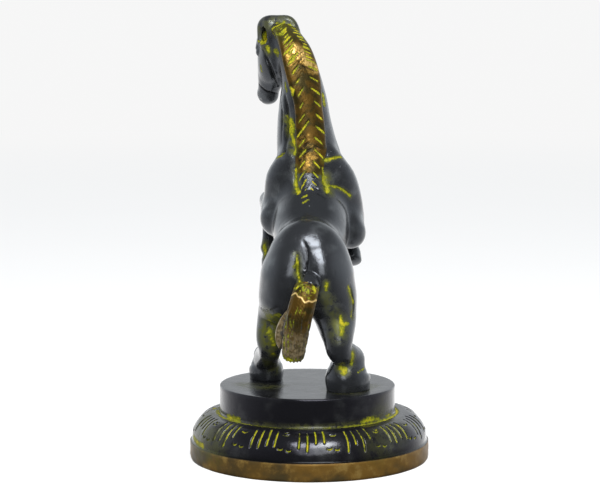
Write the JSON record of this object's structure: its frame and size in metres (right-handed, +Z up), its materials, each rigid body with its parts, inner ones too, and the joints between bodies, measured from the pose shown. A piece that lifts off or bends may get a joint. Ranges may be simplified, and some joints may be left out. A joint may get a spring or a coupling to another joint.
{
  "type": "horse figurine",
  "caption": "Cast horse rearing on its hind legs with its head turned aside, on a round turned plinth: a table or shelf ornament.",
  "frame": {"origin": "centre of the plinth's flat underside", "axes": "+Z up, +Y the way the horse's body faces, +X towards the horse's right side"},
  "size_m": [0.11, 0.1216, 0.2034],
  "materials": {
    "plinth": "semi-gloss black paint over brass, rubbed to raw brass on the lower band, yellow pigment in the cut strokes",
    "horse": "semi-gloss black paint over brass, mane and tail rubbed back to brass, yellow pigment in the cut strokes"
  },
  "bodies": {
    "root": {"plinth": "plinth", "horse": "horse"}
  },
  "joints": []
}
